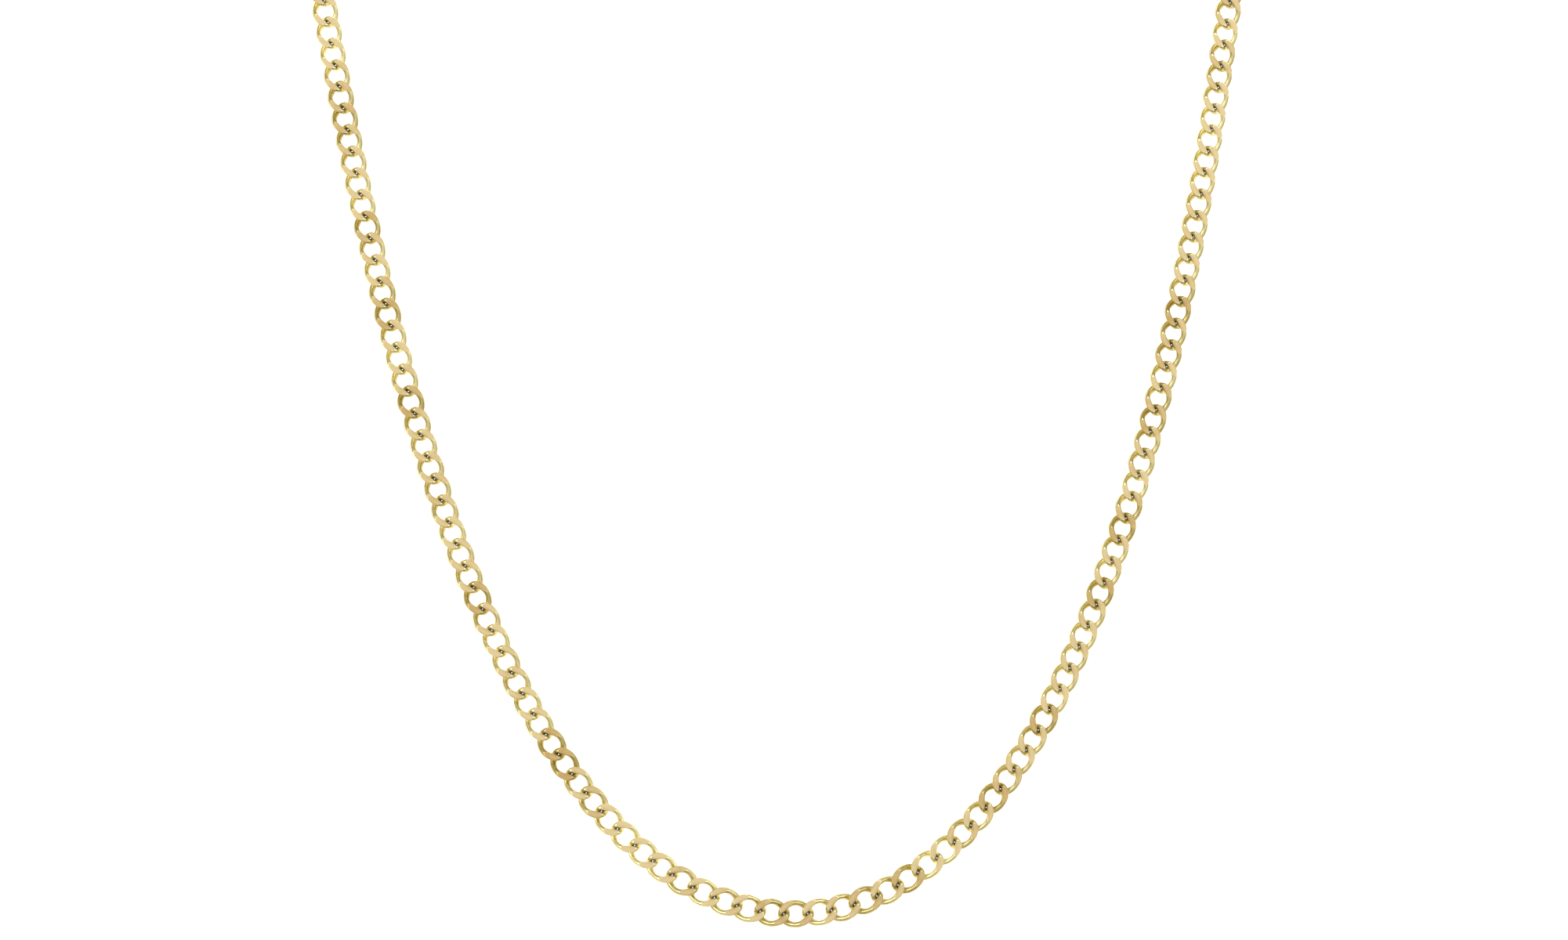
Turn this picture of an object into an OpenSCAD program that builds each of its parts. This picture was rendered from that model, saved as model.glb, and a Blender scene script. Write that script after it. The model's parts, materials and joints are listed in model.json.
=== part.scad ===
// Curb chain necklace with a lobster claw clasp, laid open and flat in a U.
// Millimetres. +Z is up off the surface it lies on, +Y runs from the front of the
// necklace towards its two ends, and the origin is under the middle of the front link.

/* [Chain] */
// Width across one link
link_w = 3.5; // [3.2:0.05:4.3]
// Diameter of the link wire before it is pressed and cut flat
wire_d = 0.74; // [0.6:0.01:0.84]
// Distance from one link to the next along the chain
pitch = 2.98; // [2.5:0.01:3.6]
// Thickness of the chain between its two diamond-cut faces
chain_t = 1.2; // [1:0.01:1.5]
// Free play between two hooked links
link_play = 0.17; // [0.14:0.01:0.22]
// How much further than half a wire each link's ends are twisted out of its plane
twist_gap = 0.12; // [0.1:0.005:0.14]
// How much wider the press spreads the wire at the cut faces, as a share of its diameter
face_spread = 0.15; // [0:0.01:0.18]
// Links in one run between two modelled hinges
run_links = 3; // [1:2:5]
// Runs of links on each side of the front run
side_runs = 24; // [12:1:26]

/* [Layout] */
// Radius of the hanging curve at the front of the necklace
bend_r = 24.2; // [22:0.1:40]
// Lean of the whole curve to the left, in degrees
lean = 0.9; // [-3:0.1:3]
// Height of the lowest metal of the end fittings above the surface
lift = 0.02; // [0:0.01:0.1]

/* [Jump rings] */
// Wire diameter of both jump rings
ring_wire = 0.6; // [0.5:0.01:0.65]
// Mean diameter of the jump ring that carries the clasp
clasp_ring_d = 2.8; // [2.6:0.05:3.4]
// Mean diameter of the catch ring that the claw closes on
catch_ring_d = 3.4; // [2.8:0.05:4]
// Roll of the jump rings about the chain, in degrees
ring_roll = 20; // [18:1:24]
// Angle that the far side of each jump ring is raised by
ring_rise = 12; // [10:1:15]
// Free play between the end link and its jump ring
ring_play = 0.3; // [0.2:0.01:0.4]

/* [Clasp] */
// Thickness of the claw
clasp_t = 2.4; // [2.2:0.05:3]
// Outside radius of the claw's round nose
claw_r = 2.6; // [2.3:0.05:3.2]
// Wall of the claw around its opening
claw_wall = 0.95; // [0.75:0.05:1.1]
// Distance from the tail loop to the middle of the claw's opening
claw_reach = 7.4; // [7:0.1:9]
// Distance from the middle of the claw's opening back to the lever's pivot
pivot_back = 3.2; // [3.1:0.05:3.4]
// Distance of the lever's pivot from the claw's centre line
pivot_side = 1; // [0.95:0.05:1.1]
// Wire diameter of the tail loop
loop_wire = 0.6; // [0.5:0.05:0.65]
// Free play between the tail loop and its jump ring
loop_play = 0.08; // [0.06:0.01:0.12]
// Thickness of the lever
lever_t = 0.88; // [0.7:0.02:1]
// Gap on each side of the lever in its slot
slot_gap = 0.06; // [0.04:0.01:0.1]
// Thickness of the claw's nose where the lever's tip closes against it
nose_wall = 0.85; // [0.7:0.05:1]
// Gap between the lever's tip and the claw's nose
mouth_gap = 0.07; // [0.05:0.01:0.12]
// Diameter of the lever's pivot pin
pin_d = 0.7; // [0.5:0.02:0.8]
// Radial clearance of the pin in the lever
pin_gap = 0.03; // [0.02:0.01:0.06]
// Radial clearance of the pin in the claw, which holds it
pin_fit = 0.01; // [0:0.005:0.02]
// Thickness of the lever's leaf spring
spring_t = 0.12; // [0.08:0.01:0.16]

/* [Hidden] */
$fn = 64;

gold = "#E3C27A";
pale_gold = "#EBCF8E";
steel = "#B9B4A6";

// Centreline of a link: an oval whose two ends are twisted opposite ways about its length,
// so far that two hooked wires clear each other where they cross.
oval_a = (pitch + wire_d + link_play) / 2;
oval_b = (link_w - wire_d) / 2;
twist_angle = asin((wire_d / 2 + twist_gap) / (oval_b * sin(45))) / cos(45);
mid_z = chain_t / 2;
stations = 12;
sides = 6;

// The last link on each side.
end_link = side_runs * run_links + (run_links - 1) / 2;

function run_name(side, i) = str(side, i < 10 ? "0" : "", i);

// The hanging curve: a catenary, by distance along it from its lowest point.
function hang(s) =
    let (x = bend_r * ln(s / bend_r + sqrt(pow(s / bend_r, 2) + 1)),
         y = sqrt(bend_r * bend_r + s * s) - bend_r)
    [x * cos(lean) - y * sin(lean), x * sin(lean) + y * cos(lean)];

// Where link k hooks into link k + 1.
function hook(k) = hang((k + 0.5) * pitch);
function heading(from, to) = atan2(to[1] - from[1], to[0] - from[0]);

function link_point(t) =
    let (twisted = twist_angle * cos(t))
    [oval_a * cos(t), oval_b * sin(t) * cos(twisted), -oval_b * sin(t) * sin(twisted)];
function link_tangent(t) = link_point(t + 0.1) - link_point(t - 0.1);
function unit(v) = v / norm(v);
function clamp(v, limit) = min(limit, max(-limit, v));

// One point of the wire's skin: spread at the faces, and the two faces cut off flat.
function skin_point(t, turn) =
    let (ahead = unit(link_tangent(t)),
         outward = unit(cross(ahead, [0, 0, 1])),
         upward = cross(outward, ahead),
         spread = 1 + face_spread * pow(sin(2 * t), 2),
         p = link_point(t) + wire_d / 2 * (spread * cos(turn) * outward + sin(turn) * upward))
    [p[0], p[1], clamp(p[2], mid_z)];

// A closed loop of wire, two triangles for each patch between stations.
module curb_link() {
    points = [for (i = [0:stations - 1], j = [0:sides - 1])
        skin_point(i * 360 / stations, j * 360 / sides)];
    function at(i, j) = (i % stations) * sides + j % sides;
    faces = [for (i = [0:stations - 1], j = [0:sides - 1], half = [0:1])
        half == 0 ? [at(i, j), at(i + 1, j + 1), at(i + 1, j)]
                  : [at(i, j), at(i, j + 1), at(i + 1, j + 1)]];
    polyhedron(points, faces);
}

// Places a link between its two hooks on the hanging curve.
module on_chain(k) {
    from = hook(k - 1);
    to = hook(k);
    translate([(from[0] + to[0]) / 2, (from[1] + to[1]) / 2, mid_z])
        rotate([0, 0, heading(from, to)])
            children();
}

// Links that move as one body, counted outwards from the front of the necklace.
module link_run(i) {
    reach = (run_links - 1) / 2;
    color(gold)
        for (k = [-reach:reach])
            on_chain(i * run_links + k)
                curb_link();
}

// The frame at an end of the chain: its X axis leads outwards from the last hook.
module at_end(side) {
    last = hook(side > 0 ? end_link : -end_link - 1);
    inner = hook(side > 0 ? end_link - 1 : -end_link);
    translate([last[0], last[1], 0])
        rotate([0, 0, heading(inner, last)])
            children();
}

// Height of a leaning ring's middle when its rim rests on the surface.
function ring_z(mean_d) =
    lift + ring_wire / 2 + mean_d / 2 * sqrt(1 - pow(cos(ring_roll) * cos(ring_rise), 2));
function ring_x(mean_d) =
    oval_a - pitch / 2 - wire_d / 2 - ring_wire / 2 - ring_play + mean_d / 2 * cos(ring_rise);

module jump_ring(mean_d) {
    translate([ring_x(mean_d), 0, ring_z(mean_d)])
        rotate([0, -ring_rise, 0])
            rotate([ring_roll, 0, 0])
                rotate_extrude()
                    translate([mean_d / 2, 0])
                        circle(d = ring_wire);
}

// The clasp lies on its side beyond the jump ring, its tail loop hooked over the ring.
loop_r = (clasp_t - loop_wire) / 2;
ring_far_x = ring_x(clasp_ring_d) + clasp_ring_d / 2 * cos(ring_rise);
ring_far_y = -clasp_ring_d / 2 * sin(ring_rise) * sin(ring_roll);
loop_x = ring_far_x - ring_wire / 2 - loop_play + loop_r - loop_wire / 2;

// The claw: its opening, the neck that joins it to the tail loop, and the lever's slot.
claw_in_r = claw_r - claw_wall;
neck_x = 0.85;
neck_h = 0.75;
pivot = [claw_reach - pivot_back, pivot_side];
slot_t = lever_t + 2 * slot_gap;
slot_in_r = 1.1;
slot_back = 1.6;
slot_floor = 0.98;
boss_room = 0.12;

// The lever: a round boss on the pin, an arm, the gate that closes the mouth, and a thumb
// knob. The gate ends in an arc about the pivot.
boss_r = 0.85;
gate_r = claw_reach + claw_r - nose_wall - pivot[0];
gate_inset = 0.05;
gate_in_gap = 0.1;
lever_out_r = claw_r - gate_inset;
lever_in_r = claw_in_r + gate_in_gap;
tip_angle = 28;
lever_root = 125;
thumb = [-0.65, 1.35];
thumb_r = 0.62;

// The spring: one leaf on the slot's floor and one that leans up to the lever.
spring_root = pivot + [0.48, -1];
spring_margin = 0.1;
leaf_flat = 0.9;
leaf_up = 0.72;
leaf_angle = 40;
floor_angle = -8;

function polar(r, angle) = [claw_reach + r * cos(angle), r * sin(angle)];

module at_clasp() {
    at_end(-1)
        translate([loop_x, ring_far_y, lift + clasp_t / 2])
            children();
}

// A flat plate centred on the clasp's middle plane.
module plate(thickness) {
    translate([0, 0, -thickness / 2])
        linear_extrude(thickness)
            children();
}

module claw_outline() {
    difference() {
        union() {
            translate([claw_reach, 0])
                circle(claw_r);
            polygon([[neck_x, -neck_h], polar(claw_r, -130), polar(claw_r, 130), [neck_x, neck_h]]);
        }
        translate([claw_reach, 0])
            circle(claw_in_r);
        mouth_outline();
    }
}

// The gap in the claw that the lever closes. The nose ends in an arc about the pivot, so
// that the lever's tip swings past it.
module mouth_outline() {
    intersection() {
        translate(pivot)
            circle(gate_r);
        polygon([[claw_reach, -0.3], [claw_reach + claw_r, -0.3], [claw_reach + claw_r, 2 * claw_r],
                 polar(2 * claw_r, 80), polar(claw_r, 120)]);
    }
}

// The room for the lever between the claw's two cheeks.
module slot_outline() {
    translate(pivot)
        circle(boss_r + boss_room);
    polygon([pivot - [0, slot_floor], polar(slot_in_r, -150), polar(2 * claw_r, 80),
             pivot + [-slot_back, slot_back + boss_r], pivot + [-slot_back, 0.15],
             pivot + [-boss_r - 0.1, -0.4]]);
}

module clasp_body() {
    color(pale_gold)
        at_clasp() {
            difference() {
                plate(clasp_t)
                    claw_outline();
                plate(slot_t)
                    slot_outline();
                translate([pivot[0], pivot[1], -clasp_t])
                    cylinder(r = pin_d / 2 + pin_fit, h = 2 * clasp_t);
            }
            rotate([90, 0, 0])
                rotate_extrude()
                    translate([loop_r, 0])
                        circle(d = loop_wire);
        }
}

// The part of the lever that closes the mouth: a slice of a ring about the opening.
module lever_gate() {
    intersection() {
        difference() {
            translate([claw_reach, 0])
                circle(lever_out_r);
            translate([claw_reach, 0])
                circle(lever_in_r);
        }
        translate(pivot)
            circle(gate_r - mouth_gap);
        polygon([[claw_reach, 0], polar(2 * claw_r, tip_angle), polar(2 * claw_r, 85),
                 polar(2 * claw_r, lever_root)]);
    }
}

// The part of the lever between its gate and its pivot.
module lever_arm() {
    polygon([pivot + [-0.1, boss_r - 0.02], polar(lever_out_r - 0.03, lever_root - 4),
             polar(lever_in_r + 0.03, lever_root - 4), polar(lever_in_r, 145), pivot + [0.2, -0.8]]);
}

module clasp_lever() {
    color(pale_gold)
        at_clasp()
            difference() {
                union() {
                    plate(lever_t)
                        lever_gate();
                    plate(lever_t)
                        lever_arm();
                    plate(lever_t)
                        translate(pivot)
                            circle(boss_r);
                    plate(lever_t)
                        translate(pivot + thumb)
                            circle(thumb_r);
                    plate(lever_t)
                        polygon([pivot + [-0.8, 0.3], pivot + thumb + [-0.58, -0.18],
                                 pivot + thumb + [0.5, 0.2], pivot + [0.3, 0.79]]);
                }
                translate([pivot[0], pivot[1], -clasp_t])
                    cylinder(r = pin_d / 2 + pin_gap, h = 2 * clasp_t);
            }
}

module clasp_pin() {
    color(gold)
        at_clasp()
            translate([pivot[0], pivot[1], -clasp_t / 2])
                cylinder(d = pin_d, h = clasp_t);
}

// A bent leaf that lies on the floor of the slot and pushes up on the lever.
module clasp_spring() {
    color(steel)
        at_clasp()
            plate(lever_t - 2 * spring_margin) {
                translate(spring_root)
                    rotate(leaf_angle)
                        square([leaf_up, spring_t]);
                translate(spring_root - [0, spring_t / 6])
                    rotate(floor_angle)
                        square([leaf_flat, spring_t]);
            }
}

module clasp_ring() {
    color(gold)
        at_end(-1)
            jump_ring(clasp_ring_d);
}

module catch_ring() {
    color(gold)
        at_end(1)
            jump_ring(catch_ring_d);
}

link_run(0);  // front_run
for (i = [1:side_runs]) {
    link_run(-i);
    link_run(i);
}
clasp_ring();
clasp_body();
clasp_lever();
clasp_pin();
clasp_spring();
catch_ring();
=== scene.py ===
"""A curb chain necklace in 14 karat yellow gold, laid out flat, with its clasp and catch ring.

The links are bent from round wire, twisted, hooked together and soldered, and both broad
faces of the finished chain are then cut flat with a diamond tool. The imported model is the
fixed frame: every link, ring and clasp piece takes its place from it.
"""

import json  # noqa: E402
import logging  # noqa: E402
import math  # noqa: E402
from dataclasses import dataclass, field  # noqa: E402
from enum import Enum  # noqa: E402
from typing import Callable, Sequence  # noqa: E402

import bpy  # noqa: E402
import numpy as np  # noqa: E402
from mathutils import Euler, Matrix, Vector  # noqa: E402

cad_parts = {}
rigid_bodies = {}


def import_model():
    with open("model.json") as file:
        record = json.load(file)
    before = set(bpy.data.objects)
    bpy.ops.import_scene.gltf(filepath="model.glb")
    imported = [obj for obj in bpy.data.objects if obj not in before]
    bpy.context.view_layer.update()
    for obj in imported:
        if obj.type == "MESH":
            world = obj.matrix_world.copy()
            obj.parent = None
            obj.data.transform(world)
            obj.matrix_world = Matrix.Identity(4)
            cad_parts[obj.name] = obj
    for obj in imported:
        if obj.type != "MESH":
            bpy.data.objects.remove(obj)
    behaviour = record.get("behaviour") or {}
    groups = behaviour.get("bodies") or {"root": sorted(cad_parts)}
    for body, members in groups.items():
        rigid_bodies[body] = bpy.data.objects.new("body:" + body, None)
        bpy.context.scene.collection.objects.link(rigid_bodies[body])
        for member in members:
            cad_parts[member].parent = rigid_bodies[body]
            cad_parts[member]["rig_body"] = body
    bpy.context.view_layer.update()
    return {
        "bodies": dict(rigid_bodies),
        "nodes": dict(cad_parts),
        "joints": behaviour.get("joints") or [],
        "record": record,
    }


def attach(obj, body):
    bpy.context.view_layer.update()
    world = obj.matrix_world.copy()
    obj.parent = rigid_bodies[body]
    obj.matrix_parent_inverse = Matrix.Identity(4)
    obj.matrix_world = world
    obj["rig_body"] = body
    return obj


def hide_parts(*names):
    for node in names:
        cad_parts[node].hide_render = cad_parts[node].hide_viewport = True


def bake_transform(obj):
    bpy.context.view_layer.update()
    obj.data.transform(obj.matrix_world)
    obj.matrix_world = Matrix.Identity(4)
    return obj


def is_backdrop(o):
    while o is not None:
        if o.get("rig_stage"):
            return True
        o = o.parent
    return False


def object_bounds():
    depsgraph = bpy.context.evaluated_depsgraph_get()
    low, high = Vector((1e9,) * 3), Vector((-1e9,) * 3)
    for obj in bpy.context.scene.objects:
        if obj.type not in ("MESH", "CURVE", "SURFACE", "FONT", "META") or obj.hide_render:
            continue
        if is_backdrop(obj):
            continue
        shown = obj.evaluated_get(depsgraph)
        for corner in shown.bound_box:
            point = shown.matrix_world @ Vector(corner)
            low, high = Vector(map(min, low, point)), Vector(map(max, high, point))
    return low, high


LOG = logging.getLogger("necklace")
MM = 0.001
FULL_TURN = 2 * math.pi
RING_NODES = ("clasp_ring", "catch_ring")


class Slot(Enum):
    """The record's material slots."""

    CHAIN = "chain_gold"
    CAST = "cast_gold"
    RING = "ring_gold"
    SPRING = "spring_steel"


class Side(Enum):
    """The two strands, as they lie seen from above with the front link nearest."""

    LEFT = -1
    RIGHT = 1


# ---------------------------------------------------------------- nodes and colours


def linear(colour: str, alpha: float = 1.0) -> tuple[float, float, float, float]:
    """Turns an sRGB hex colour into the linear values that a shader socket takes.

    Args:
        colour: Six hex digits after a hash sign.
        alpha: Opacity, kept as it is.

    Returns:
        Linear red, green, blue and alpha.
    """
    parts = [int(colour[i : i + 2], 16) / 255 for i in (1, 3, 5)]
    red, green, blue = (c / 12.92 if c <= 0.04045 else ((c + 0.055) / 1.055) ** 2.4 for c in parts)
    return red, green, blue, alpha


def add_node(
    tree: bpy.types.NodeTree,
    kind: str,
    links: dict | None = None,
    values: dict | None = None,
    **settings: object,
) -> bpy.types.Node:
    """Adds one node with its settings, its sockets' own values and its links.

    Args:
        tree: The node tree that gets the node.
        kind: The node's type name.
        links: The output that feeds each input, by the input's name or number.
        values: The value of each unlinked input, by its name or number.
        **settings: Properties of the node itself.

    Returns:
        The new node.
    """
    node = tree.nodes.new(kind)
    for name, value in settings.items():
        setattr(node, name, value)
    for socket, value in (values or {}).items():
        node.inputs[socket].default_value = value
    for socket, source in (links or {}).items():
        tree.links.new(source, node.inputs[socket])
    return node


# ---------------------------------------------------------------- finishes


@dataclass(frozen=True)
class MetalFinish:
    """A bare metal surface: its colour, its shine and the marks its making left.

    The colour drifts a little from link to link and over a few millimetres, because wear
    and skin take the shine off unevenly; on the chain the drift also carries painted shade,
    darker at the wire's flanks. Deep in the hooks and in the clasp's slot it darkens to a
    brown that is painted shade; on a jump ring the same brown marks its real solder joint.
    """

    name: str
    slot: Slot
    bright: str
    mellow: str
    # The dark brown of painted shade in hooks and slots, and of a jump ring's solder joint.
    residue: str
    roughness: float
    roughness_drift: float
    drift_mm: float = 1.4
    residue_share: float = 0.6

    def marks(self, tree: bpy.types.NodeTree) -> bpy.types.NodeSocket:
        """Returns the height of the surface's marks, from 0 to 1."""
        raise NotImplementedError

    def mark_depth_mm(self) -> float:
        """Returns how deep the marks are drawn, in millimetres."""
        raise NotImplementedError

    def material(self) -> bpy.types.Material:
        """Builds the material.

        Returns:
            A material whose colour, roughness and relief come from nodes.
        """
        made = bpy.data.materials.new(self.name)
        made.use_nodes = True
        made.diffuse_color = linear(self.bright)
        tree = made.node_tree
        tree.nodes.clear()
        place = add_node(tree, "ShaderNodeAttribute", attribute_name="link_mm").outputs["Vector"]
        tone = add_node(tree, "ShaderNodeAttribute", attribute_name="tone").outputs["Fac"]
        hook = add_node(tree, "ShaderNodeAttribute", attribute_name="hook").outputs["Fac"]
        drift = add_node(
            tree,
            "ShaderNodeTexNoise",
            {"Vector": place},
            {"Scale": 1 / self.drift_mm, "Detail": 3.0, "Roughness": 0.55},
        ).outputs["Fac"]
        # The drift of the colour: half from the link's own tone, which carries painted shade at the
        # wire's flanks, half from the noise.
        mellowness = add_node(
            tree,
            "ShaderNodeMath",
            {0: tone, 1: drift},
            operation="ADD",
        ).outputs[0]
        share = add_node(
            tree,
            "ShaderNodeMapRange",
            {"Value": mellowness},
            {"From Min": 0.25, "From Max": 1.35, "To Min": 0.0, "To Max": 1.0},
            interpolation_type="SMOOTHSTEP",
        ).outputs[0]
        metal = add_node(
            tree,
            "ShaderNodeMix",
            {0: share},
            {6: linear(self.bright), 7: linear(self.mellow)},
            data_type="RGBA",
        ).outputs[2]
        # Painted shade in hooks and slots, mixed in as dark brown, with a jump ring's real solder
        # joint stain.
        painted_shade_and_joint_weight = add_node(
            tree,
            "ShaderNodeMath",
            {0: hook},
            {1: self.residue_share},
            operation="MULTIPLY",
        ).outputs[0]
        colour = add_node(
            tree,
            "ShaderNodeMix",
            {0: painted_shade_and_joint_weight, 6: metal},
            {7: linear(self.residue)},
            data_type="RGBA",
        ).outputs[2]
        # Patches a millimetre or two across, a little duller or brighter than the rest.
        dullness = add_node(
            tree,
            "ShaderNodeMapRange",
            {"Value": drift},
            {
                "From Min": 0.3,
                "From Max": 0.7,
                "To Min": self.roughness - self.roughness_drift,
                "To Max": self.roughness + self.roughness_drift,
            },
        ).outputs[0]
        rough = add_node(
            tree, "ShaderNodeMath", {0: dullness, 1: painted_shade_and_joint_weight}, operation="ADD", use_clamp=True
        ).outputs[0]
        relief = add_node(
            tree,
            "ShaderNodeBump",
            {"Height": self.marks(tree)},
            {"Strength": 1.0, "Distance": self.mark_depth_mm() * MM},
        ).outputs[0]
        shader = add_node(
            tree,
            "ShaderNodeBsdfPrincipled",
            {"Base Color": colour, "Roughness": rough, "Normal": relief},
            {"Metallic": 1.0},
        ).outputs[0]
        add_node(tree, "ShaderNodeOutputMaterial", {"Surface": shader})
        return made


@dataclass(frozen=True)
class DrawnWire(MetalFinish):
    """Gold wire pulled through a draw plate, then polished.

    Faint lines are left along the wire, about 0.05 mm apart; they are drawn 0.09 mm apart,
    so that they show. To the eye they spread the highlight across the wire.
    """

    line_mm: float = 0.09
    line_length_mm: float = 2.5
    depth_mm: float = 0.0016

    def marks(self, tree: bpy.types.NodeTree) -> bpy.types.NodeSocket:
        """Returns draw lines, long along the wire and fine across it."""
        wire = add_node(tree, "ShaderNodeAttribute", attribute_name="wire_mm").outputs["Vector"]
        stretched = add_node(
            tree,
            "ShaderNodeVectorMath",
            {0: wire},
            {1: (1 / self.line_length_mm, 1 / self.line_mm, 1.0)},
            operation="MULTIPLY",
        ).outputs[0]
        return add_node(
            tree, "ShaderNodeTexNoise", {"Vector": stretched}, {"Scale": 1.0, "Detail": 2.0}
        ).outputs["Fac"]

    def mark_depth_mm(self) -> float:
        """Returns the depth of the draw lines."""
        return self.depth_mm


@dataclass(frozen=True)
class DiamondCut(MetalFinish):
    """A face cut flat by a spinning diamond tool.

    The cut is mirror bright with a slow swell 1.3 mm long, where the wire
    gives under the tool, and cutter lines 0.12 mm apart across the chain.
    """

    swell_mm: float = 1.3
    line_mm: float = 0.12
    depth_mm: float = 0.03
    line_share: float = 0.06

    def marks(self, tree: bpy.types.NodeTree) -> bpy.types.NodeSocket:
        """Returns the slow swell of the cut with the cutter lines on it."""
        place = add_node(tree, "ShaderNodeAttribute", attribute_name="link_mm").outputs["Vector"]
        swell = add_node(
            tree,
            "ShaderNodeTexNoise",
            {"Vector": place},
            {"Scale": 1 / self.swell_mm, "Detail": 1.0},
        ).outputs["Fac"]
        across = add_node(
            tree,
            "ShaderNodeVectorMath",
            {0: place},
            {1: (1 / self.line_mm, 0.35, 1.0)},
            operation="MULTIPLY",
        ).outputs[0]
        lines = add_node(
            tree, "ShaderNodeTexNoise", {"Vector": across}, {"Scale": 1.0, "Detail": 1.0}
        ).outputs["Fac"]
        return add_node(
            tree,
            "ShaderNodeMath",
            {0: lines, 2: swell},
            {1: self.line_share},
            operation="MULTIPLY_ADD",
        ).outputs[0]

    def mark_depth_mm(self) -> float:
        """Returns the depth of the swell."""
        return self.depth_mm


@dataclass(frozen=True)
class TumbledCasting(MetalFinish):
    """Cast gold, tumbled with steel shot.

    Tumbling closes the cast skin into a soft shine and leaves shallow dimples about
    0.25 mm across, which break the highlights up.
    """

    dimple_mm: float = 0.25
    depth_mm: float = 0.006

    def marks(self, tree: bpy.types.NodeTree) -> bpy.types.NodeSocket:
        """Returns the shot's shallow dimples."""
        place = add_node(tree, "ShaderNodeAttribute", attribute_name="link_mm").outputs["Vector"]
        cells = add_node(
            tree,
            "ShaderNodeTexVoronoi",
            {"Vector": place},
            {"Scale": 1 / self.dimple_mm, "Smoothness": 1.0},
            feature="SMOOTH_F1",
        ).outputs["Distance"]
        return cells

    def mark_depth_mm(self) -> float:
        """Returns the depth of a dimple."""
        return self.depth_mm


@dataclass(frozen=True)
class RolledStrip(MetalFinish):
    """Hardened spring strip, with rolling lines 0.05 mm apart along its length."""

    line_mm: float = 0.05
    depth_mm: float = 0.002

    def marks(self, tree: bpy.types.NodeTree) -> bpy.types.NodeSocket:
        """Returns the rolling lines."""
        place = add_node(tree, "ShaderNodeAttribute", attribute_name="link_mm").outputs["Vector"]
        stretched = add_node(
            tree,
            "ShaderNodeVectorMath",
            {0: place},
            {1: (0.8, 0.8, 1 / self.line_mm)},
            operation="MULTIPLY",
        ).outputs[0]
        return add_node(
            tree, "ShaderNodeTexNoise", {"Vector": stretched}, {"Scale": 1.0, "Detail": 2.0}
        ).outputs["Fac"]

    def mark_depth_mm(self) -> float:
        """Returns the depth of a rolling line."""
        return self.depth_mm


# 14 karat yellow gold, with silver and copper in it. The round wire's olive cast and the cut
# faces' rosier, brighter colour are painted reflection: one gold, coloured for the different
# light that the wire's sides and the flat faces catch. The dark brown of both is painted
# shade in the hooks.
CHAIN_WIRE = DrawnWire(
    name="drawn_gold_wire",
    slot=Slot.CHAIN,
    bright="#F3E8B4",
    mellow="#BFAC66",
    residue="#3E2406",
    roughness=0.24,
    roughness_drift=0.06,
    residue_share=0.85,
)
CHAIN_FACE = DiamondCut(
    name="diamond_cut_gold",
    slot=Slot.CHAIN,
    bright="#FAE4AE",
    mellow="#D9B877",
    residue="#3E2406",
    roughness=0.14,
    roughness_drift=0.05,
    residue_share=0.85,
)
RING_WIRE = DrawnWire(
    name="jump_ring_gold",
    slot=Slot.RING,
    bright="#F1D88E",
    mellow="#E0BE74",
    residue="#7A5212",
    roughness=0.18,
    roughness_drift=0.05,
    line_mm=0.08,
)
CAST_GOLD = TumbledCasting(
    name="tumbled_cast_gold",
    slot=Slot.CAST,
    bright="#F3DA94",
    mellow="#E3C078",
    residue="#6E4A12",
    roughness=0.22,
    roughness_drift=0.05,
)
SPRING_STEEL = RolledStrip(
    name="spring_steel",
    slot=Slot.SPRING,
    bright="#C6C2B8",
    mellow="#A8A49A",
    residue="#3A3022",
    roughness=0.32,
    roughness_drift=0.06,
)


# ---------------------------------------------------------------- mesh helpers


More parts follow.
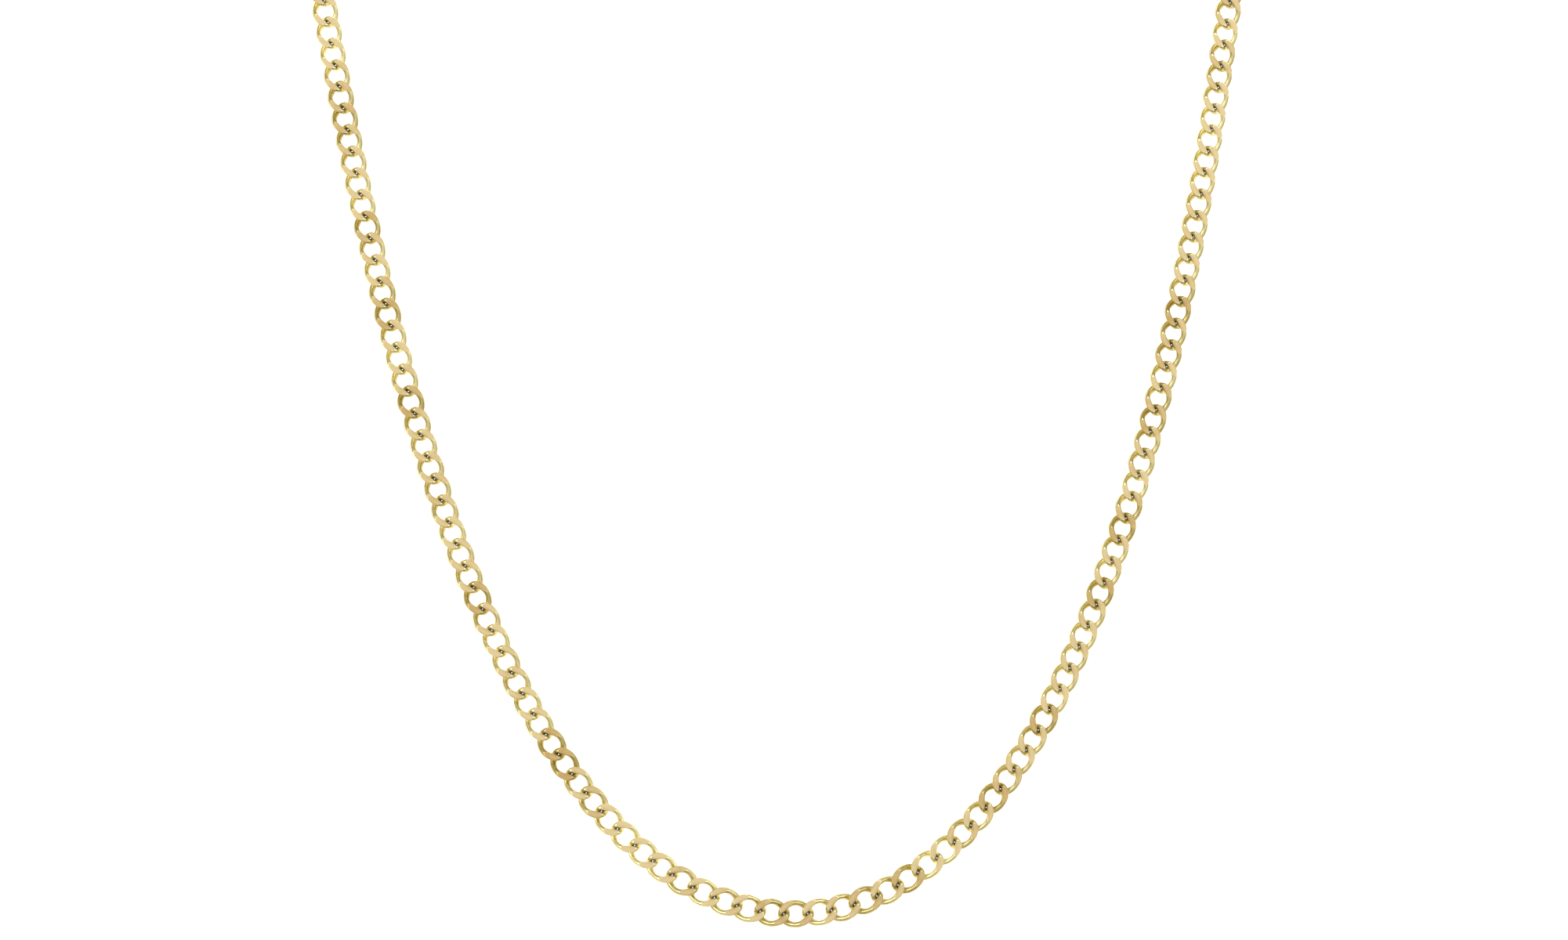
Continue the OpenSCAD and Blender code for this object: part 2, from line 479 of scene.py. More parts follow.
@dataclass
class Skin:
    """A mesh in the making, in millimetres, with what its finish reads.

    Attributes:
        points: Places of the vertices.
        faces: Vertex numbers of each face, all with the same number of corners.
        finish: Number of the finish of each face.
        link_mm: Place in the piece's own frame, which carries the patterns.
        wire_mm: Distance along and around the wire at each face corner.
        tone: How mellow the colour is, for each vertex; on the chain it carries painted shade at
            the wire's flanks.
        hook: How deep in a hook or corner each vertex lies, from 0 to 1, which weights painted
            shade; on a jump ring it marks the solder joint.
    """

    points: np.ndarray
    faces: np.ndarray
    finish: np.ndarray
    link_mm: np.ndarray
    wire_mm: np.ndarray
    tone: np.ndarray
    hook: np.ndarray

    def joined(self, others: Sequence["Skin"]) -> "Skin":
        """Returns this skin and the others as one."""
        every = [self, *others]
        starts = np.cumsum([0] + [len(s.points) for s in every[:-1]])
        return Skin(
            np.concatenate([s.points for s in every]),
            np.concatenate([s.faces + start for s, start in zip(every, starts)]),
            np.concatenate([s.finish for s in every]),
            np.concatenate([s.link_mm for s in every]),
            np.concatenate([s.wire_mm for s in every]),
            np.concatenate([s.tone for s in every]),
            np.concatenate([s.hook for s in every]),
        )

    def piece(self, name: str, finishes: Sequence[bpy.types.Material]) -> bpy.types.Object:
        """Makes the Blender object, in metres and in the row frame.

        Args:
            name: The object's name.
            finishes: The materials, in the order that finish numbers them.

        Returns:
            The new object, linked to the scene.
        """
        mesh = bpy.data.meshes.new(name)
        mesh.from_pydata((self.points * MM).tolist(), [], self.faces.tolist())
        for made in finishes:
            mesh.materials.append(made)
        mesh.polygons.foreach_set("material_index", self.finish.astype(np.int32))
        mesh.polygons.foreach_set("use_smooth", np.ones(len(self.faces), bool))
        columns = (
            ("link_mm", "FLOAT_VECTOR", "POINT", "vector", self.link_mm),
            ("wire_mm", "FLOAT_VECTOR", "CORNER", "vector", self.wire_mm),
            ("tone", "FLOAT", "POINT", "value", self.tone),
            ("hook", "FLOAT", "POINT", "value", self.hook),
        )
        for label, kind, domain, key, column in columns:
            attribute = mesh.attributes.new(label, kind, domain)
            attribute.data.foreach_set(key, np.asarray(column, np.float32).ravel())
        mesh.update()
        made_object = bpy.data.objects.new(name, mesh)
        bpy.context.scene.collection.objects.link(made_object)
        return made_object


def unit(vectors: np.ndarray) -> np.ndarray:
    """Returns the vectors, each scaled to a length of one."""
    return vectors / np.linalg.norm(vectors, axis=-1, keepdims=True)


def wrapped_quads(around: int, across: int) -> np.ndarray:
    """Numbers the quads of a grid that closes on itself both ways.

    Args:
        around: Grid lines the long way.
        across: Grid lines the short way.

    Returns:
        Four vertex numbers for each quad, the long way first.
    """
    i, j = np.meshgrid(np.arange(around), np.arange(across), indexing="ij")
    after, beside = (i + 1) % around, (j + 1) % across
    corners = [i * across + j, i * across + beside, after * across + beside, after * across + j]
    return np.stack([c.ravel() for c in corners], 1)


def corner_lengths(along: np.ndarray, round_the_wire: np.ndarray) -> np.ndarray:
    """Gives each quad corner of a closed tube its place on the wire, with no jump at the seam.

    Args:
        along: Distance along the wire at each station, and at the end of the last one.
        round_the_wire: Distance round the wire at each line, and at the end of the last one.

    Returns:
        Place on the wire at each corner, in the order of wrapped_quads.
    """
    i, j = np.meshgrid(np.arange(len(along) - 1), np.arange(len(round_the_wire) - 1), indexing="ij")
    i, j = i.ravel(), j.ravel()
    pairs = [(i, j), (i, j + 1), (i + 1, j + 1), (i + 1, j)]
    places = [np.stack([along[a], round_the_wire[b], np.zeros(len(a))], 1) for a, b in pairs]
    return np.stack(places, 1).reshape(-1, 3)


def node_shells(node: bpy.types.Object) -> list[np.ndarray]:
    """Splits a CAD node's mesh into its separate closed shells.

    Args:
        node: The CAD node's object.

    Returns:
        The points of each shell, in millimetres.
    """
    count = len(node.data.vertices)
    places = np.zeros(count * 3, np.float32)
    node.data.vertices.foreach_get("co", places)
    places = places.reshape(-1, 3).astype(float) / MM
    keys, same = np.unique(np.round(places, 4), axis=0, return_inverse=True)
    same = same.ravel()
    edges = np.zeros(len(node.data.edges) * 2, np.int32)
    node.data.edges.foreach_get("vertices", edges)
    ends = same[edges.reshape(-1, 2)]
    label = np.arange(len(keys))
    while True:
        lowest = label[ends].min(1)
        before = label.copy()
        np.minimum.at(label, ends[:, 0], lowest)
        np.minimum.at(label, ends[:, 1], lowest)
        if (label == before).all():
            break
    return [keys[label == one] for one in np.unique(label)]


@dataclass(frozen=True)
class Flex:
    """A springy piece's bend across a joint, held as data: which body its free end would follow,
    and where.

    Attributes:
        body: The CAD body that the free end would follow.
        start: Where the bend starts, in metres.
        end: Where it ends.
    """

    body: str
    start: tuple[float, ...]
    end: tuple[float, ...]


def dress(
    piece: bpy.types.Object, body: str, slot: Slot, *nodes: str, flex: Flex | None = None
) -> None:
    """Makes a piece ride a body, or leaves a springy piece fixed where it lies, and hides the CAD
    nodes that it stands for.

    Args:
        piece: The piece.
        body: The CAD body that it moves with.
        slot: The record's material slot; not used.
        *nodes: The CAD nodes that it stands for.
        flex: The bend meant for a springy piece; when it is given, the piece rides no body and is
            not bent.
    """
    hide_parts(*nodes)
    if flex:
        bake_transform(piece)
    else:
        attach(piece, body)
    LOG.info("%s rides %s, %d faces", piece.name, body, len(piece.data.polygons))


# ---------------------------------------------------------------- the chain


@dataclass
class CurbLink:
    """One link: a loop of round wire, twisted at both ends and cut flat on both faces.

    The sizes are those of the CAD model's links, in millimetres.
    """

    width: float = 3.5
    wire: float = 0.74
    pitch: float = 2.98
    thickness: float = 1.2
    # A little less than the CAD model's, whose six-sided wire needs more room.
    play: float = 0.095
    twist_gap: float = 0.12
    # The press spreads the wire at the faces by this share of its diameter.
    face_spread: float = 0.15
    stations: int = 72
    side_lines: int = 4
    # The polished edge of a cut face is rounded over about this depth.
    rim: float = 0.012
    # Grid lines run along the edge of each cut face, this far apart in radians.
    rim_lines: float = 0.11
    # Other grid lines on a cut face lie at this share of its half width from its middle.
    face_share: float = 0.45
    least_face: float = 0.3
    # Painted shade: a duller tone at the wire's flanks, and how sharply it gathers there.
    flank_tone: float = 0.75
    flank_power: float = 4
    # Sine of the angle round the link, from its end, over which painted shade darkens the hook.
    hook_reach: float = 0.58
    hook_power: float = 1.5

    def half_length(self) -> float:
        """Returns half the length of the wire's centreline loop."""
        return (self.pitch + self.wire + self.play) / 2

    def centreline(self, angle: np.ndarray) -> np.ndarray:
        """Returns points of the wire's centreline at these angles round the link."""
        half_width = (self.width - self.wire) / 2
        lift = (self.wire / 2 + self.twist_gap) / (half_width * math.sqrt(0.5))
        twisted = math.asin(lift) * math.sqrt(2) * np.cos(angle)
        return np.stack(
            [
                self.half_length() * np.cos(angle),
                half_width * np.sin(angle) * np.cos(twisted),
                -half_width * np.sin(angle) * np.sin(twisted),
            ],
            -1,
        )

    def line_angles(self, top: np.ndarray, bottom: np.ndarray) -> np.ndarray:
        """Spreads the grid lines round the wire so that some run along the cut faces' edges.

        Args:
            top: Half the angle that the upper cut face takes up, at each station.
            bottom: The same for the lower one.

        Returns:
            Angle of each line at each station, from just before the upper face all round.
        """

        def band(middle: float, half: np.ndarray) -> list[np.ndarray]:
            near, far = half - self.rim_lines, half + self.rim_lines
            inner = self.face_share * half
            steps = [-far, -half, -near, -inner, 0 * half, inner, near, half, far]
            return [middle + step for step in steps]

        upper = band(math.pi / 2, top)
        lower = band(1.5 * math.pi, bottom)
        shares = np.arange(1, self.side_lines + 1) / (self.side_lines + 1)
        inner = [upper[-1] + (lower[0] - upper[-1]) * s for s in shares]
        outer = [lower[-1] + (upper[0] + FULL_TURN - lower[-1]) * s for s in shares]
        return np.stack([*upper, *inner, *lower, *outer], 1)

    def skin(self) -> Skin:
        """Builds the link about its own middle, its length along X and its faces along Z.

        Returns:
            The link's skin, with finish 0 on the wire and 1 on the cut faces.
        """
        angle = np.arange(self.stations) * FULL_TURN / self.stations
        middle = self.centreline(angle)
        step = 1e-4
        ahead = unit(self.centreline(angle + step) - self.centreline(angle - step))
        outward = unit(np.cross(ahead, [0.0, 0.0, 1.0]))
        upward = np.cross(outward, ahead)
        radius, limit = self.wire / 2, self.thickness / 2
        reach = radius * upward[:, 2]
        top = np.arccos(np.clip((limit - middle[:, 2]) / reach, -1, 1))
        bottom = np.arccos(np.clip((limit + middle[:, 2]) / reach, -1, 1))
        turn = self.line_angles(
            np.maximum(top, self.least_face), np.maximum(bottom, self.least_face)
        )
        cosine, sine = np.cos(turn)[..., None], np.sin(turn)[..., None]
        spread = (1 + self.face_spread * np.sin(2 * angle) ** 2)[:, None, None]
        whole = middle[:, None] + radius * (
            spread * cosine * outward[:, None] + sine * upward[:, None]
        )
        raw = whole[..., 2]
        flat = limit - self.rim * np.logaddexp(0, (limit - raw) / self.rim)
        flat = -limit + self.rim * np.logaddexp(0, (flat + limit) / self.rim)
        points = np.concatenate([whole[..., :2], flat[..., None]], 2).reshape(-1, 3)
        lines = turn.shape[1]
        faces = wrapped_quads(self.stations, lines)
        cut_away = np.abs(raw).ravel() - limit
        finish = (cut_away[faces].mean(1) > 0).astype(int)
        # Painted shade in the hooks: the inside of the wire at the two ends of the link.
        inside = np.clip(-np.cos(turn), 0, 1)
        at_end = np.exp(-((np.sin(angle) / self.hook_reach) ** 2))
        hook = (at_end[:, None] * inside**self.hook_power).ravel()
        # Painted shade: the wire's flanks, which face sideways, take the duller colour.
        painted_flank_shade = (self.flank_tone * np.abs(np.cos(turn)) ** self.flank_power).ravel()
        hops = np.linalg.norm(np.diff(middle, axis=0, append=middle[:1]), axis=1)
        along = np.concatenate([[0], np.cumsum(hops)])
        mean_turn = turn.mean(0)
        round_the_wire = np.append(mean_turn, mean_turn[0] + FULL_TURN) * radius
        return Skin(
            points,
            faces,
            finish,
            points.copy(),
            corner_lengths(along, round_the_wire),
            painted_flank_shade,
            hook,
        )


@dataclass
class LinkPlace:
    """Where one link lies on the chain, in millimetres."""

    number: int
    middle: np.ndarray
    heading: float


@dataclass
class CurbChain:
    """The chain: runs of links that hook into each other from end to end."""

    link: CurbLink = field(default_factory=CurbLink)
    # A relaxed link rolls and rocks a little in its neighbours' hooks, in degrees.
    roll: float = 0.9
    rock: float = 0.35
    tone_spread: float = 0.5
    # Distance between two links' places in the patterns, so that no two look alike.
    pattern_step_mm: float = 7.3
    seed: int = 14

    def run_number(self, node: str) -> int:
        """Returns a run's number along the chain, from the left end's, which is negative."""
        if node == "front_run":
            return 0
        side, _, number = node.split("_")
        return Side[side.upper()].value * int(number)

    def places(self, nodes: dict[str, bpy.types.Object]) -> dict[str, list[LinkPlace]]:
        """Finds where the CAD model's links lie.

        Args:
            nodes: The CAD nodes by name.

        Returns:
            The places of the links in each run, from the left end to the right.
        """
        runs = sorted((n for n in nodes if n.split("_")[1] == "run"), key=self.run_number)
        middles: list[np.ndarray] = []
        owners: list[str] = []
        for run in runs:
            found = [shell.mean(0) for shell in node_shells(nodes[run])]
            key = 0 if run == "front_run" else 1
            found.sort(key=lambda p: p[key] * (-1 if self.run_number(run) < 0 else 1))
            middles += found
            owners += [run] * len(found)
        line = np.array(middles)
        lead = np.empty_like(line)
        lead[1:-1] = line[2:] - line[:-2]
        lead[0] = 2 * (line[1] - line[0]) - lead[1] / 2
        lead[-1] = 2 * (line[-1] - line[-2]) - lead[-2] / 2
        placed: dict[str, list[LinkPlace]] = {run: [] for run in runs}
        half = len(owners) // 2
        for i, run in enumerate(owners):
            heading = math.atan2(lead[i][1], lead[i][0])
            placed[run].append(LinkPlace(i - half, line[i], heading))
        return placed

    def build(self, nodes: dict[str, bpy.types.Object]) -> list[bpy.types.Object]:
        """Builds every run of links over its CAD node.

        Args:
            nodes: The CAD nodes by name.

        Returns:
            One piece for each run.
        """
        finishes = [CHAIN_WIRE.material(), CHAIN_FACE.material()]
        pattern = self.link.skin()
        draw = np.random.RandomState(self.seed)
        pieces = []
        for run, places in self.places(nodes).items():
            skins = [self.laid(pattern, place, draw) for place in places]
            piece = skins[0].joined(skins[1:]).piece(run.replace("run", "links"), finishes)
            dress(piece, nodes[run]["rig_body"], Slot.CHAIN, run)
            pieces.append(piece)
        return pieces

    def laid(self, pattern: Skin, place: LinkPlace, draw: np.random.RandomState) -> Skin:
        """Lays a copy of the link in its place, with its own small lean and tone.

        Args:
            pattern: The link about its own middle.
            place: Where it goes.
            draw: The chain's seeded source of small differences.

        Returns:
            The link in the row frame.
        """
        roll, rock = draw.uniform(-1, 1, 2) * np.radians([self.roll, self.rock])
        turn = np.array(Euler((roll, rock, place.heading), "XYZ").to_matrix())
        offset = np.array([0.0, 0.0, self.pattern_step_mm * place.number])
        tone = draw.uniform(-1, 1) * self.tone_spread
        return Skin(
            pattern.points @ turn.T + place.middle,
            pattern.faces,
            pattern.finish,
            pattern.link_mm + offset,
            pattern.wire_mm + offset,
            pattern.tone + tone,
            pattern.hook,
        )


# ---------------------------------------------------------------- rings and clasp


@dataclass
class JumpRing:
    """A round wire ring, closed and soldered, that joins an end link to its fitting."""

    node: str
    stations: int = 96
    lines: int = 20
    # The solder joint: a shallow groove across the wire, in millimetres.
    groove: float = 0.02
    groove_width: float = 0.09
    joint_angle: float = 2.2
    joint_stain: float = 0.7
    # A closed ring's points centre on their mean, unless that lies this far from its box.
    centre_slack: float = 0.05
    # Polishing takes this much off the wire's radius.
    polish: float = 0.012

    def build(
        self, nodes: dict[str, bpy.types.Object], finish: bpy.types.Material
    ) -> bpy.types.Object:
        """Builds the ring over its CAD node.

        Args:
            nodes: The CAD nodes by name.
            finish: The ring's material.

        Returns:
            The ring.
        """
        places = node_shells(nodes[self.node])[0]
        middle = (places.min(0) + places.max(0)) / 2
        if np.linalg.norm(places.mean(0) - middle) < self.centre_slack:
            middle = places.mean(0)
        _, _, axes = np.linalg.svd(places - middle, full_matrices=False)
        wide, tall, thin = axes[0], np.cross(axes[2], axes[0]), axes[2]
        flat = (places - middle) @ np.stack([wide, tall, thin]).T
        reach = np.hypot(flat[:, 0], flat[:, 1])
        mean_radius = (reach.max() + reach.min()) / 2
        wire = (reach.max() - reach.min()) / 2
        angle = np.arange(self.stations) * FULL_TURN / self.stations
        turn = np.arange(self.lines) * FULL_TURN / self.lines
        gap = np.abs((angle - self.joint_angle + math.pi) % FULL_TURN - math.pi) * mean_radius
        thinned = wire - self.polish - self.groove * np.exp(-((gap / self.groove_width) ** 2))
        spoke = mean_radius + thinned[:, None] * np.cos(turn)
        local = np.stack(
            [
                spoke * np.cos(angle)[:, None],
                spoke * np.sin(angle)[:, None],
                thinned[:, None] * np.sin(turn),
            ],
            2,
        ).reshape(-1, 3)
        points = local @ np.stack([wide, tall, thin]) + middle
        faces = wrapped_quads(self.stations, self.lines)[:, ::-1]
        along = np.arange(self.stations + 1) * FULL_TURN / self.stations * mean_radius
        around = np.arange(self.lines + 1) * FULL_TURN / self.lines * wire
        joint = np.repeat(np.exp(-((gap / self.groove_width) ** 2)), self.lines)
        corners = corner_lengths(along, around).reshape(-1, 4, 3)[:, ::-1].reshape(-1, 3)
        skin = Skin(
            points,
            faces,
            np.zeros(len(faces), int),
            local,
            corners,
            np.zeros(len(points)),
            self.joint_stain * joint,
        )
        piece = skin.piece(self.node + "_wire", [finish])
        dress(piece, nodes[self.node]["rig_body"], Slot.RING, self.node)
        return piece


@dataclass
class LobsterClasp:
    """The claw with its tail loop, the lever that shuts its mouth, the pin and the spring.

    The clasp's own frame has its middle at the tail loop, X towards the claw's nose and Z
    up, in millimetres. Its sizes are those of the CAD model.
    """

    thickness: float = 2.4
    claw_reach: float = 7.4
    claw_radius: float = 2.6
    opening_radius: float = 1.65
    pivot: tuple[float, float] = (4.2, 1.0)
    lever_half: float = 0.44
    # A tumbled casting's edges are rounded over this distance from the rim.
    pillow: float = 0.5
    # Share of the cheek's thickness that is left at the very rim.
    rim_share: float = 0.35
    voxel: float = 0.055
    pin_voxel: float = 0.04
    spring_voxel: float = 0.025
    # How far below the pivot the spring's upper leaf would start and stop bending.
    leaf_bend: tuple[float, float] = (0.88, 0.56)
    # The neck's straight flanks: where they start and end, and half their height there.
    neck_ends: tuple[float, float] = (0.85, 5.73)
    neck_heights: tuple[float, float] = (0.75, 1.99)
    # The tail loop's end of the neck keeps its full thickness up to here.
    loop_end: float = 1.25
    # The slot's cheek starts this far outside the lever.
    slot_margin: float = 0.08
    # Painted shade in the slot: how far from the pivot and the cheek, and how much.
    stain_radius: float = 1.1
    stain_gap: float = 0.06
    stain_fade: float = 0.08
    stain_share: float = 0.5
    origin: np.ndarray = field(default_factory=lambda: np.zeros(3))
    turn: np.ndarray = field(default_factory=lambda: np.eye(3))

    def settle(self, frame: dict) -> None:
        """Takes the clasp's place from the record's joints.
        """
        joints = {j["name"]: j for j in frame["joints"]}
        across = joints["clasp_swing"]["axis"]
        outward = np.array([across[1], -across[0], 0.0])
        self.turn = np.stack([outward, np.array([-outward[1], outward[0], 0.0]), [0.0, 0.0, 1.0]])
        hinge = np.array(joints["lever_hinge"]["pos_m"]) / MM
        self.origin = hinge - np.array([*self.pivot, 0.0]) @ self.turn

    def local(self, places: np.ndarray) -> np.ndarray:
        """Turns points of the row frame into the clasp's own."""
        return (places - self.origin) @ self.turn.T

    def softened(
        self,
        node: bpy.types.Object,
        shape: Callable[[np.ndarray], np.ndarray],
        voxel: float,
        passes: int,
    ) -> tuple[np.ndarray, np.ndarray]:
        """Works a CAD solid over as a casting: fine even mesh, shaped, then smoothed.

        Args:
            node: The CAD node's object.
            shape: Moves the points of the fine mesh, in the clasp's own frame.
            voxel: Size of the fine mesh's faces.
            passes: How many times the surface is smoothed.

        Returns:
            Points in the clasp's own frame, and quads.
        """
        count = len(node.data.vertices)
        places = np.zeros(count * 3, np.float32)
        node.data.vertices.foreach_get("co", places)
        local = self.local(places.reshape(-1, 3).astype(float) / MM)
        source = [list(p.vertices) for p in node.data.polygons]
        mesh = bpy.data.meshes.new("casting")
        mesh.from_pydata(local.tolist(), [], source)
        blank = bpy.data.objects.new("casting", mesh)
        bpy.context.scene.collection.objects.link(blank)
        weld = blank.modifiers.new("weld", "WELD")
        weld.merge_threshold = 1e-4
        fine = blank.modifiers.new("fine", "REMESH")
        fine.mode = "VOXEL"
        fine.voxel_size = voxel
        fine.adaptivity = 0.0
        worked = self.applied(blank)
        cast = np.zeros(len(worked.vertices) * 3, np.float32)
        worked.vertices.foreach_get("co", cast)
        cast = shape(cast.reshape(-1, 3).astype(float))
        worked.vertices.foreach_set("co", cast.astype(np.float32).ravel())
        worked.update()
        blank.data = worked
        smooth = blank.modifiers.new("smooth", "SMOOTH")
        smooth.factor = 0.5
        smooth.iterations = passes
        smoothed = self.applied(blank)
        final = np.zeros(len(smoothed.vertices) * 3, np.float32)
        smoothed.vertices.foreach_get("co", final)
        corners = np.zeros(len(smoothed.loops), np.int32)
        smoothed.loops.foreach_get("vertex_index", corners)
        bpy.data.objects.remove(blank)
        return final.reshape(-1, 3).astype(float), corners.reshape(-1, 4)

    def applied(self, blank: bpy.types.Object) -> bpy.types.Mesh:
        """Returns a new mesh with the object's modifiers applied, and takes them off."""
        graph = bpy.context.evaluated_depsgraph_get()
        made = bpy.data.meshes.new_from_object(blank.evaluated_get(graph))
        blank.modifiers.clear()
        return made

    def rim_distance(self, places: np.ndarray) -> np.ndarray:
        """Returns how far points of the claw's plane lie inside its nearest rim."""
        from_middle = np.hypot(places[:, 0] - self.claw_reach, places[:, 1])
        outer = self.claw_radius - from_middle
        inner = from_middle - self.opening_radius
        neck = np.interp(places[:, 0], self.neck_ends, self.neck_heights) - np.abs(places[:, 1])
        body = np.where(places[:, 0] < self.neck_ends[1], np.maximum(neck, outer), outer)
        return np.clip(np.minimum(body, inner), 0, None)

    def pillowed(self, places: np.ndarray) -> np.ndarray:
        """Thins the claw's cheeks towards every rim, so that its section is oval."""
        near = np.clip(self.rim_distance(places) / self.pillow, 0, 1)
        share = self.rim_share + (1 - self.rim_share) * np.sqrt(1 - (1 - near) ** 2)
        height = np.abs(places[:, 2])
        start = self.lever_half + self.slot_margin
        thinned = start + (height - start) * share
        at_loop = places[:, 0] < self.loop_end
        lifted = np.where((height > start) & ~at_loop, thinned, height)
        return np.column_stack([places[:, :2], np.sign(places[:, 2]) * lifted])

    def crowned(self, places: np.ndarray) -> np.ndarray:
        """Leaves the lever's shape to the smoothing, which rounds its edges."""
        return places

    def casting(
        self,
        name: str,
        node: bpy.types.Object,
        shape: Callable[[np.ndarray], np.ndarray],
        voxel: float,
        passes: int,
        finish: bpy.types.Material,
        slot: Slot,
        flex: Flex | None = None,
    ) -> bpy.types.Object:
        """Builds one piece of the clasp over its CAD node.

        Args:
            name: The piece's name.
            node: The CAD node's object.
            shape: Moves the fine mesh's points.
            voxel: Size of the fine mesh's faces.
            passes: How many times it is smoothed.
            finish: The piece's material.
            slot: The record's material slot.
            flex: The bend meant for the piece, if any; such a piece rides no body and is not bent.

        Returns:
            The piece.
        """
        local, quads = self.softened(node, shape, voxel, passes)
        corner_places = local[quads.ravel()]
        # Painted shade on the faces beside the slot, near the cheeks' inner faces and the pivot.
        from_cheek = np.abs(np.abs(local[:, 2]) - self.lever_half - self.stain_gap)
        from_pin = np.hypot(local[:, 0] - self.pivot[0], local[:, 1] - self.pivot[1])
        painted_shade_and_joint_weight = self.stain_share * np.exp(-from_cheek / self.stain_fade)
        skin = Skin(
            local @ self.turn + self.origin,
            quads,
            np.zeros(len(quads), int),
            local,
            corner_places,
            np.zeros(len(local)),
            painted_shade_and_joint_weight * (from_pin < self.stain_radius),
        )
        piece = skin.piece(name, [finish])
        dress(piece, node["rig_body"], slot, node.name, flex=flex)
        return piece

    def leaf_flex(self, lever_body: str) -> Flex:
        """Returns the bend meant for the spring's upper leaf, whose tip would stay against the
        lever.
        """
        start, end = (
            np.array([self.pivot[0], self.pivot[1] - below, 0.0]) @ self.turn + self.origin
            for below in self.leaf_bend
        )
        return Flex(lever_body, tuple(start * MM), tuple(end * MM))

    def build(self, frame: dict) -> list[bpy.types.Object]:
        """Builds the clasp's four pieces.


        Returns:
            Claw, lever, pin and spring.
        """
        self.settle(frame)
        nodes = frame["nodes"]
        cast, wire, strip = CAST_GOLD.material(), RING_WIRE.material(), SPRING_STEEL.material()
        return [
            self.casting(
                "claw", nodes["clasp_body"], self.pillowed, self.voxel, 6, cast, Slot.CAST
            ),
            self.casting(
                "lever", nodes["clasp_lever"], self.crowned, self.voxel, 5, cast, Slot.CAST
            ),
            self.casting(
                "lever_pin", nodes["clasp_pin"], self.crowned, self.pin_voxel, 2, wire, Slot.RING
            ),
            self.casting(
                "leaf_spring",
                nodes["clasp_spring"],
                self.crowned,
                self.spring_voxel,
                1,
                strip,
                Slot.SPRING,
                self.leaf_flex(nodes["clasp_lever"]["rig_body"]),
            ),
        ]


# ---------------------------------------------------------------- studio


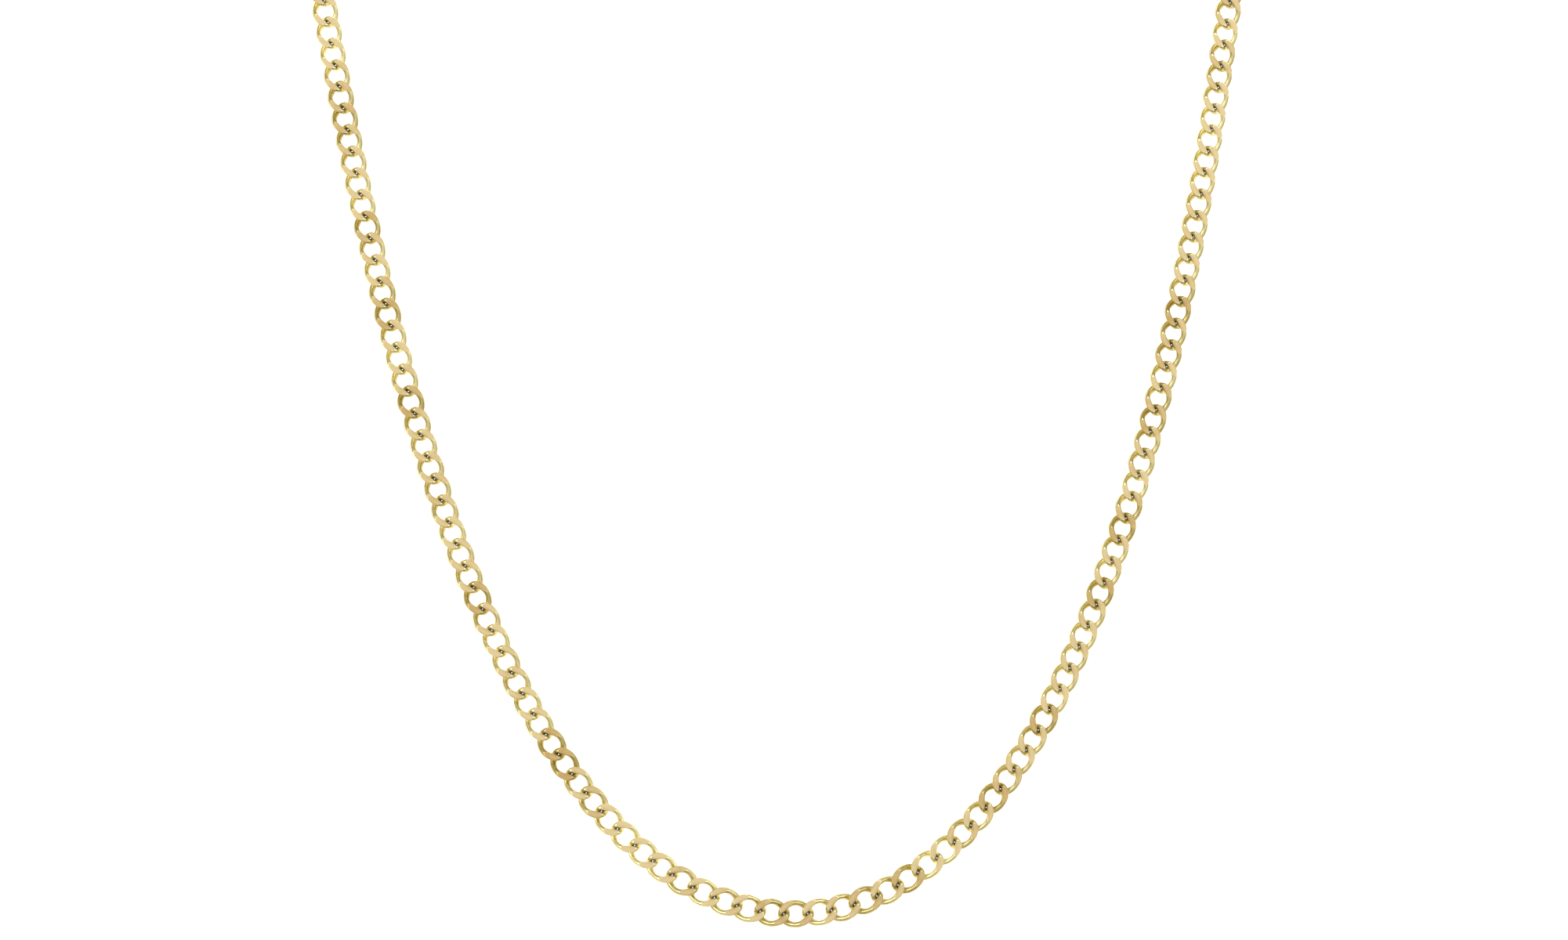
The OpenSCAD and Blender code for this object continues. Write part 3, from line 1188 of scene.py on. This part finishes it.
@dataclass
class Studio:
    """A white light table under a bright overhead diffuser, in a soft, shadowless light."""

    table: str = "#FFFFFF"
    table_size: float = 6.0
    # A glass light table: the white sheet lies under the glass, well below the chain, so
    # that nothing casts a shadow on it and the strands have room to hang when they fold.
    table_drop: float = 40 * MM
    # Brightness of the surroundings by height: 0 at the horizon, 1 overhead.
    sky: tuple[tuple[float, str], ...] = (
        (0.0, "#8E897E"),
        (0.25, "#A8A49A"),
        (0.55, "#E4E2DC"),
        (0.8, "#FFFFFF"),
        (1.0, "#F4F2EC"),
    )
    sky_strength: float = 0.92
    # The diffuser's seams and the dim room over it, that the polished faces pick up.
    seam_scale: float = 7.0
    seam_dimness: float = 0.62
    # The table is lit from below, so that nothing on it casts a shadow.
    glow: float = 0.45
    # Each softbox: its name, place and size in metres, power in watts, and colour.
    softboxes: tuple[tuple, ...] = (
        ("left_softbox", (-0.9, 0.1, 0.9), (0.7, 1.1), 4.0, "#FFF4E4"),
        ("back_softbox", (0.2, 1.1, 1.0), (1.0, 0.5), 3.0, "#FFFFFF"),
        ("right_softbox", (1.0, 0.1, 0.7), (0.5, 0.9), 1.6, "#F4F8FF"),
    )
    # The middle of the necklace, which the softboxes face.
    aim: tuple[float, float, float] = (0.0, 0.08, 0.0)

    def surroundings(self) -> None:
        """Lights the scene from all round, brighter overhead than near the horizon."""
        world = bpy.data.worlds.new("diffuser")
        bpy.context.scene.world = world
        world.use_nodes = True
        tree = world.node_tree
        tree.nodes.clear()
        way = add_node(tree, "ShaderNodeTexCoord").outputs["Generated"]
        height = add_node(tree, "ShaderNodeSeparateXYZ", {"Vector": way}).outputs["Z"]
        ramp = add_node(tree, "ShaderNodeValToRGB", {"Fac": height})
        stops = ramp.color_ramp.elements
        while len(stops) < len(self.sky):
            stops.new(0.5)
        for stop, (place, colour) in zip(stops, self.sky):
            stop.position = place
            stop.color = linear(colour)
        seams = add_node(
            tree,
            "ShaderNodeTexNoise",
            {"Vector": way},
            {"Scale": self.seam_scale, "Detail": 2.0, "Roughness": 0.6},
        ).outputs["Fac"]
        strength = add_node(
            tree,
            "ShaderNodeMapRange",
            {"Value": seams},
            {
                "From Min": 0.34,
                "From Max": 0.5,
                "To Min": self.sky_strength * self.seam_dimness,
                "To Max": self.sky_strength,
            },
            interpolation_type="SMOOTHSTEP",
        ).outputs[0]
        shade = add_node(
            tree,
            "ShaderNodeBackground",
            {"Color": ramp.outputs["Color"], "Strength": strength},
        )
        add_node(tree, "ShaderNodeOutputWorld", {"Surface": shade.outputs[0]})

    def floor(self) -> bpy.types.Object:
        """Lays the white table.

        Returns:
            The table, marked as stage.
        """
        half = self.table_size / 2
        mesh = bpy.data.meshes.new("table")
        corners = [(-half, -half), (half, -half), (half, half), (-half, half)]
        mesh.from_pydata([(x, y, -self.table_drop) for x, y in corners], [], [(0, 1, 2, 3)])
        made = bpy.data.materials.new("white_table")
        made.use_nodes = True
        tree = made.node_tree
        tree.nodes.clear()
        shader = add_node(
            tree,
            "ShaderNodeBsdfPrincipled",
            values={
                "Base Color": linear(self.table),
                "Roughness": 0.9,
                "Specular IOR Level": 0.0,
                "Emission Color": linear(self.table),
                "Emission Strength": self.glow,
            },
        ).outputs[0]
        add_node(tree, "ShaderNodeOutputMaterial", {"Surface": shader})
        mesh.materials.append(made)
        table = bpy.data.objects.new("table", mesh)
        bpy.context.scene.collection.objects.link(table)
        table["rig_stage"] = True
        return table

    def softbox(
        self,
        name: str,
        place: tuple[float, float, float],
        size: tuple[float, float],
        watts: float,
        colour: str,
    ) -> bpy.types.Object:
        """Hangs a rectangular softbox that faces the middle of the necklace.

        Args:
            name: The light's name.
            place: Where it hangs, in metres.
            size: Its width and height, in metres.
            watts: Its power.
            colour: Its colour.

        Returns:
            The light.
        """
        data = bpy.data.lights.new(name, "AREA")
        data.shape = "RECTANGLE"
        data.size, data.size_y = size
        data.energy = watts
        data.color = linear(colour)[:3]
        light = bpy.data.objects.new(name, data)
        light.location = place
        aim = Vector(self.aim) - Vector(place)
        light.rotation_euler = aim.to_track_quat("-Z", "Y").to_euler()
        bpy.context.scene.collection.objects.link(light)
        return light

    def build(self) -> None:
        """Sets up the table, the surroundings and the softboxes."""
        self.surroundings()
        self.floor()
        for box in self.softboxes:
            self.softbox(*box)
        view = bpy.context.scene.view_settings
        view.view_transform = "Standard"
        view.look = "None"
        view.exposure = 0.0


@dataclass
class ViewCamera:
    """The camera, which looks down on the front of the necklace from a little before it."""

    place: tuple[float, float, float] = (-23.93, -31.01, 420.0)
    tilt: float = -11.79
    yaw: float = 3.01
    roll: float = -0.54
    lens: float = 77.07
    sensor: float = 36.0
    shift: float = -0.0005

    def build(self) -> bpy.types.Object:
        """Places the camera and makes it the scene's.

        Returns:
            The camera.
        """
        data = bpy.data.cameras.new("view")
        data.type = "PERSP"
        data.lens = self.lens
        data.sensor_width = self.sensor
        data.sensor_fit = "HORIZONTAL"
        data.shift_y = self.shift
        data.clip_start = 0.01
        data.clip_end = 50.0
        camera = bpy.data.objects.new("view", data)
        to_camera = (
            Matrix.Rotation(math.radians(self.roll), 3, "Z")
            @ Matrix.Rotation(math.radians(self.yaw), 3, "Y")
            @ Matrix.Rotation(math.radians(self.tilt), 3, "X")
        )
        turned = to_camera.transposed().to_4x4()
        camera.matrix_world = Matrix.Translation(Vector(self.place) * MM) @ turned
        bpy.context.scene.collection.objects.link(camera)
        bpy.context.scene.camera = camera
        return camera


# ---------------------------------------------------------------- the whole necklace


def corners() -> list[list[float]]:
    """Returns the box round the whole object, as plain lists."""
    return [[float(value) for value in corner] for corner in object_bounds()]


def main() -> None:
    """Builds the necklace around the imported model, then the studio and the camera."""
    logging.basicConfig(level=logging.INFO, format="%(message)s")
    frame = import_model()
    chain = CurbChain().build(frame["nodes"])
    ring_gold = RING_WIRE.material()
    rings = [JumpRing(name).build(frame["nodes"], ring_gold) for name in RING_NODES]
    clasp = LobsterClasp().build(frame)
    LOG.info("%d runs, %d rings, %d clasp pieces", len(chain), len(rings), len(clasp))
    Studio().build()
    ViewCamera().build()


if __name__ == "__main__":
    main()
